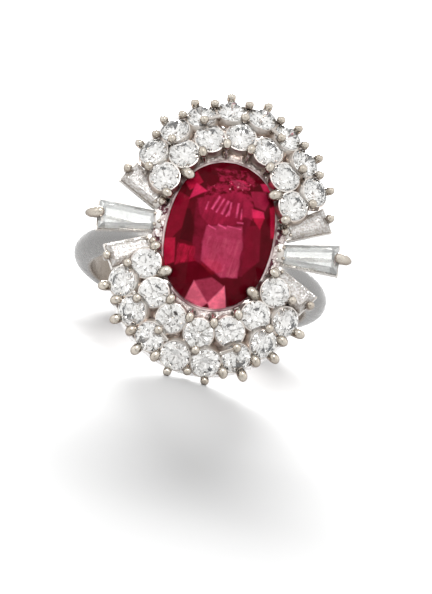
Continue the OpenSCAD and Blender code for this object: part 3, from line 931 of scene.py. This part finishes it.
# %% The ruby's outline
RING_STEPS = 144
RUBY_HALF_WIDTH = 4.03
RUBY_HALF_LENGTH = 5.72
RUBY_END_R = 3.75
RUBY_SIDE_R = (
    (RUBY_HALF_WIDTH ** 2 + RUBY_HALF_LENGTH ** 2 - 2 * RUBY_HALF_LENGTH * RUBY_END_R)
    / (2 * (RUBY_HALF_WIDTH - RUBY_END_R))
)
SIDE_CENTRE = RUBY_SIDE_R - RUBY_HALF_WIDTH
END_CENTRE = RUBY_HALF_LENGTH - RUBY_END_R


def beside_ruby(angle, grow):
    """The point at a distance outside the ruby's outline, by the angle of the outline's normal."""
    facing = Vector((math.cos(angle), math.sin(angle)))
    if abs(facing.y) * SIDE_CENTRE > abs(facing.x) * END_CENTRE:
        return Vector((0, math.copysign(END_CENTRE, facing.y))) + (RUBY_END_R + grow) * facing
    return Vector((-math.copysign(SIDE_CENTRE, facing.x), 0)) + (RUBY_SIDE_R + grow) * facing


def angle_beside_ruby(point):
    """The angle of the outline's normal through a point."""
    over_end = abs(point.y) - END_CENTRE
    if over_end * SIDE_CENTRE > abs(point.x) * END_CENTRE:
        return math.atan2(math.copysign(over_end, point.y), point.x)
    return math.atan2(point.y, point.x + math.copysign(SIDE_CENTRE, point.x))


def ring_round_ruby(outline, reach=None, steps=RING_STEPS):
    """A ring whose outline is given as (distance outside the ruby, height)."""
    mesh = bmesh.new()
    lathe(mesh, [(1 + grow, height) for grow, height in outline], Matrix(), steps)
    for vert in mesh.verts:
        angle = math.atan2(vert.co.y, vert.co.x)
        grow = vert.co.xy.length - 1
        if reach:
            grow *= reach(angle)
        vert.co.xy = beside_ruby(angle, grow)
    return mesh


print("arcs of the ruby's outline:", RUBY_END_R, "and", round(RUBY_SIDE_R, 2), "mm")

# %% [markdown]
# ### The rim, the collar and the apron
#
# The rim is a thin wall that hugs the stone, with a ledge under the stone's edge. The collar beside it
# has a half-moon cut at each claw. A Boolean could cut them, but thin slivers are left where a cutter
# runs along an edge, so the collar reaches less far out at the claws instead. The apron below is a
# sheet coloured with painted shade, and closes the view into the gallery.

# %% Ruby rim, scalloped collar and apron
HALF_MOON_W = 0.3
HALF_MOON_DEPTH = 0.62
COLLAR_MIDDLE = 0.5
claw_angles = [angle_beside_ruby(tip) for tip in collar_claws]


def scallop(angle):
    """How far the collar reaches, from 1 between the claws down to the floor of a half-moon cut."""
    reach = 1.0
    for claw_angle in claw_angles:
        away = (angle - claw_angle + math.pi) % math.tau - math.pi
        across = abs(away) * (RUBY_END_R + COLLAR_MIDDLE) / HALF_MOON_W
        if across < 1:
            reach = min(reach, 1 - HALF_MOON_DEPTH * math.sqrt(1 - across ** 2))
    return reach


RIM = [
    (0.03, 13.06), (0.14, 13.06), (0.2, 13.0), (0.2, 12.6), (-0.12, 12.6), (-0.12, 12.7), (0.03, 12.76),
]
COLLAR = [(0.2, 13.0), (0.5, 12.98), (0.9, 12.86), (0.9, 12.76), (0.2, 12.86)]
APRON = [(0.1, 12.5), (0.85, 11.8), (0.85, 11.65), (0.05, 12.35)]
finish_piece("ruby_rim", ring_round_ruby(RIM), rim_gold)
collar = ring_round_ruby(COLLAR, scallop, 2 * RING_STEPS)
finish_piece("scalloped_collar", collar, collar_gold)
# The apron is a sheet of painted shade.
finish_piece("apron", ring_round_ruby(APRON), shaded_gallery_gold)

# %% [markdown]
# ## Gallery plates
#
# Behind each group of round stones lies a curved plate that carries the collets. It could be cut from
# an oval disc, but a flat grid that is bent onto the ovals has even faces all over. It gets its
# thickness last.

# %% Gallery plates
PLATE_SPAN = math.radians(62)
# Half the width, half the length and the height of each edge.
PLATE_INNER = (4.6, 6.35, 12.1)
PLATE_OUTER = (6.95, 9.5, 11.75)
PLATE_T = 0.2
PLATE_STEPS_ALONG = 44
PLATE_STEPS_OUT = 5

plates = bmesh.new()
for half in HALVES:
    sheet = bmesh.ops.create_grid(
        plates, x_segments=PLATE_STEPS_ALONG, y_segments=PLATE_STEPS_OUT, size=0.5)["verts"]
    for vert in sheet:
        t = 2 * PLATE_SPAN * vert.co.x
        share = vert.co.y + 0.5
        half_width, half_length, height = (
            low + (high - low) * share for low, high in zip(PLATE_INNER, PLATE_OUTER))
        way = 1 - 2 * half
        vert.co = (way * half_width * math.sin(t), way * half_length * math.cos(t), height)
bmesh.ops.recalc_face_normals(plates, faces=plates.faces)
bmesh.ops.solidify(plates, geom=plates.faces[:], thickness=PLATE_T)
# The plates are coloured with painted shade.
gallery = finish_piece("gallery_plates", plates, shaded_gallery_gold)

# %% [markdown]
# ### Holes under the stones
#
# A jeweller opens the back of every seat to let in light. Faces could be deleted there, but the holes
# would have the grid's corners. One mesh of round drills and a Boolean modifier cut them all at once,
# and the result then takes the place of the plates' mesh.

# %% Holes
HOLE_R = 0.7
HOLE_L = 1.2
HOLE_STEPS = 24

cutters = bmesh.new()
for seat in seats:
    made = bmesh.ops.create_cone(
        cutters, cap_ends=True, segments=HOLE_STEPS, radius1=HOLE_R, radius2=HOLE_R, depth=HOLE_L)
    bmesh.ops.transform(
        cutters, matrix=WORN @ seat @ Matrix.Translation((0, 0, -HOLE_L)), verts=made["verts"])
cutter = put_in_scene("hole_cutters", cutters, shaded_gallery_gold)
cut = gallery.modifiers.new("holes", "BOOLEAN")
cut.object = cutter
cut.operation = "DIFFERENCE"
cut.solver = "EXACT"
cut_mesh = bpy.data.meshes.new_from_object(gallery.evaluated_get(bpy.context.evaluated_depsgraph_get()))
gallery.modifiers.clear()
gallery.data = cut_mesh
bpy.data.objects.remove(cutter)
print("gallery_plates with", len(seats), "holes:", len(cut_mesh.polygons), "faces")

# %% [markdown]
# ## The stout claws
#
# The ruby's four claws are thick and were pressed in over the stone, so they are longer inwards than
# they are wide. They could be modelled one by one, but the claw of the round stones, made larger and
# stretched inwards, already has their shape.

# %% Stout claws of the ruby
RUBY_CLAW_ANGLE = math.radians(29.75)
RUBY_HEIGHT = 13.15
RUBY_CLAW_OUT = 0.06
RUBY_CLAW_UP = 0.7
RUBY_CLAW_SIZE = 1.22
RUBY_CLAW_PRESSED = 1.25
# How far it rises, and how far it leans outwards as it does.
RUBY_CLAW_RISE = 0.66
RUBY_CLAW_LEAN = -0.35

stout_claws = bmesh.new()
for side_x in (-1, 1):
    for side_y in (-1, 1):
        edge = beside_ruby(RUBY_CLAW_ANGLE, 0)
        edge = Vector((side_x * edge.x, side_y * edge.y, RUBY_HEIGHT))
        out = Vector((side_x * math.cos(RUBY_CLAW_ANGLE), side_y * math.sin(RUBY_CLAW_ANGLE), 0))
        tip = edge + RUBY_CLAW_OUT * out + RUBY_CLAW_UP * UPRIGHT
        rise = (RUBY_CLAW_RISE * UPRIGHT + RUBY_CLAW_LEAN * out).normalized()
        pressed = Matrix.Scale(RUBY_CLAW_PRESSED, 4, out)
        claw_along(stout_claws, rise, tip, RUBY_CLAW_SIZE, stretch=pressed)
print("points in the ruby's claws:", len(stout_claws.verts))

# %% [markdown]
# ### The claws of the baguettes
#
# The long baguettes each have one stout claw, a drop that points away from the head, and the short
# ones have a small claw at each end. A baguette's frame gives the place of everything that holds it, so
# each of these is set once for a baguette and turned half round for the one across the ruby.

# %% Claws of the baguettes
class Baguette:
    """Where a baguette's inner end is, its turn in degrees, and its width there."""

    def __init__(self, x, y, z, turn, width):
        self.end = Matrix.Translation((x, y, z)) @ Matrix.Rotation(math.radians(turn), 4, "Z")
        self.width = width

    def place(self, half):
        """The matrix of its inner end, in the right half, 0, or the left half, 1."""
        return Matrix.Rotation(math.pi * half, 4, "Z") @ self.end


LONG = Baguette(x=4.78, y=-0.12, z=12.7, turn=8, width=1.4)
SHORT = [Baguette(x=4.85, y=side * 1.65, z=12.45, turn=side * 31.5, width=1.15) for side in (-1, 1)]
DROP = [
    (0, 0.46), (0.2, 0.42), (0.34, 0.28), (0.41, 0.05), (0.42, -0.3), (0.4, -0.6), (0.34, -0.85),
    (0.22, -1.12), (0, -1.25),
]
DROP_TIP = Vector((4.45, 0, 0.58))
DROP_RISE = Vector((-0.57, 0, 0.51)).normalized()
# The tip and the size of each claw of a short baguette.
SHORT_CLAWS = [(Vector((3.5, 0, 0.38)), 0.95), (Vector((-0.16, 0, 0.44)), 0.9)]

for half in HALVES:
    place = LONG.place(half)
    claw_along(stout_claws, place.to_3x3() @ DROP_RISE, place @ DROP_TIP, outline=DROP)
    for baguette in SHORT:
        for tip, size in SHORT_CLAWS:
            claw_along(stout_claws, UPRIGHT, baguette.place(half) @ tip, size)
finish_piece("stout_claws", stout_claws, claw_gold)

# %% [markdown]
# ## End plates of the baguettes
#
# A small plate covers the inner end of each baguette, with three rounded grains, which a jeweller
# raises from the metal to hold the stone. The plate is filed flat with soft edges, so it starts as a
# box and gets them from a bevel. The grains are turned like the claws.

# %% End plates and grains
END_PLATE_L = 0.5
END_PLATE_H = 0.6
END_PLATE_PAST = 0.06
END_PLATE_UP = 0.02
END_PLATE_BEVEL = 0.06
GRAIN = [(0, 1), (0.38, 0.92), (0.7, 0.71), (0.92, 0.38), (1, 0), (0.9, -0.5), (0, -0.9)]
GRAIN_STEPS = 12
GRAIN_R = 0.15
GRAIN_UP = 0.32
# Outwards, and sideways as a share of the baguette's width.
GRAIN_PLACES = [(0.22, 0.3), (0.22, -0.3), (-0.12, 0.12)]

grain = [(GRAIN_R * radius, GRAIN_R * height) for radius, height in GRAIN]
end_plates = bmesh.new()
grains = bmesh.new()
for half in HALVES:
    for baguette in [LONG] + SHORT:
        place = baguette.place(half)
        made = bmesh.ops.create_cube(end_plates, size=1)["verts"]
        size = Matrix.Diagonal((END_PLATE_L, baguette.width + END_PLATE_PAST, END_PLATE_H, 1))
        lift = Matrix.Translation((0, 0, END_PLATE_UP))
        bmesh.ops.transform(end_plates, matrix=place @ lift @ size, verts=made)
        for out, share in GRAIN_PLACES:
            at = Matrix.Translation((out, share * baguette.width, GRAIN_UP))
            lathe(grains, grain, place @ at, GRAIN_STEPS)
bmesh.ops.bevel(
    end_plates, geom=end_plates.edges[:], offset=END_PLATE_BEVEL, segments=2, profile=0.5,
    affect="EDGES", offset_type="OFFSET", material=-1,
)
finish_piece("end_plates", end_plates, white_gold)
finish_piece("grains", grains, claw_gold)

# %% [markdown]
# ## The studio
#
# The ring lies on plain pale paper, a sheet so large that its edge is never seen. The ground of such a
# picture is almost white, and still holds a soft shadow. White paper would be far brighter than
# white under these lights and would lose the shadow, so the sheet is a middle grey that the lights
# bring up to white.

# %% Studio
FLOOR_SIZE = 3.0
PAPER_GREY = (0.45, 0.45, 0.45, 1)
PAPER_PALE = (0.47, 0.47, 0.47, 1)
PAPER_CLOUD = 40


def make_paper(name, dark, pale, cloud, rough):
    """Matt paper or card, faintly clouded."""
    f = Finish(name)
    return f.surface(Base_Color=f.mix(f.noise(cloud), dark, pale), Roughness=rough)


sheet = bmesh.new()
bmesh.ops.create_grid(sheet, x_segments=1, y_segments=1, size=FLOOR_SIZE)
floor_paper = make_paper("floor_paper", PAPER_GREY, PAPER_PALE, PAPER_CLOUD, rough=0.9)
floor = put_in_scene("floor", sheet, floor_paper)
print("the paper reaches", FLOOR_SIZE, "m each way")

# %% [markdown]
# ## The lights
#
# A wide lamp far behind the ring and low over the floor throws the long shadow towards the viewer.
# A sun lamp could do that too, but it is round, and this shadow is softer sideways than lengthways, so
# the lamp is a broad box. Three small soft boxes draw lines of light on the claws and the band, and a
# narrow spot lightens the paper just in front of the ring.

# %% Lights
# Azimuth and elevation in degrees, distance, width and height in metres, and power in watts.
BACK_LIGHT = (180.8, 14.3, 6.0, 2.8, 1.6, 1270)
SMALL_BOXES = {
    "front_box": (8, 55, 0.5, 0.2, 0.1, 0.16),
    "left_box": (-70, 30, 0.5, 0.06, 0.3, 0.12),
    "right_box": (75, 35, 0.5, 0.05, 0.3, 0.1),
}
# Where the spot shines, in metres.
SPOT_AIM = Vector((-0.009, -0.019, 0))
SPOT_SIDE = seen_from(0, 60)
SPOT_DISTANCE = 0.1
SPOT_POWER = 0.265
SPOT_SPREAD = math.radians(24)
SPOT_R = 0.01


def add_light(name, kind, towards, place, power, **settings):
    """A lamp that the camera doesn't see, shining against the direction given."""
    lamp = bpy.data.lights.new(name, kind)
    lamp.energy = power
    for setting, value in settings.items():
        setattr(lamp, setting, value)
    light = bpy.data.objects.new(name, lamp)
    light.location = place
    light.rotation_euler = towards.to_track_quat("Z", "Y").to_euler()
    light.visible_camera = False
    bpy.context.scene.collection.objects.link(light)


def add_softbox(name, azimuth, elevation, distance, width, height, power):
    """A soft box that faces the middle of the picture."""
    towards = seen_from(azimuth, elevation)
    add_light(
        name, "AREA", towards, aim + distance * towards, power,
        shape="RECTANGLE", size=width, size_y=height,
    )


add_softbox("back_light", *BACK_LIGHT)
add_light(
    "contact_spot", "SPOT", SPOT_SIDE, SPOT_AIM + SPOT_DISTANCE * SPOT_SIDE, SPOT_POWER,
    spot_size=SPOT_SPREAD, spot_blend=1.0, shadow_soft_size=SPOT_R,
)
for name, box in SMALL_BOXES.items():
    add_softbox(name, *box)
print("lights:", len(bpy.data.lights))

# %% [markdown]
# ## Something dark for the stones to mirror
#
# In a white room a clear stone is white all over and looks like plaster. A photographer lets it mirror
# something dark, often the camera itself. The stones could be given dark facets by colour, but those
# would stay where they are when the view turns. So a dark grey card stands just behind the camera,
# unseen by any camera, and the facets that look back at it go dark. White surroundings fill the rest.

# %% Dark card and surroundings
CARD_R = 0.09
CARD_STEPS = 48
CARD_DISTANCE = 0.4
CARD_DARK = (0.08, 0.078, 0.075, 1)
CARD_GREY = (0.1, 0.098, 0.095, 1)
CARD_CLOUD = 3
SURROUNDINGS = 1.06

disc = bmesh.new()
bmesh.ops.create_circle(disc, cap_ends=True, segments=CARD_STEPS, radius=CARD_R)
facing = to_camera.to_track_quat("Z", "Y").to_matrix().to_4x4()
place = Matrix.Translation(aim + CARD_DISTANCE * to_camera) @ facing
bmesh.ops.transform(disc, matrix=place, verts=disc.verts)
dark_card = make_paper("dark_card", CARD_DARK, CARD_GREY, CARD_CLOUD, rough=1.0)
card = put_in_scene("camera_hood", disc, dark_card)
card.visible_camera = False

world = bpy.data.worlds.new("studio")
world.use_nodes = True
world.node_tree.nodes["Background"].inputs["Color"].default_value = (1, 1, 1, 1)
world.node_tree.nodes["Background"].inputs["Strength"].default_value = SURROUNDINGS
bpy.context.scene.world = world
bpy.context.scene.view_settings.view_transform = "Standard"
print("brightness of the surroundings:", SURROUNDINGS)

# %% [markdown]
# ## The model's size
#
# Dressing a model must not change its size.

# %% End
print("the ring is dressed")
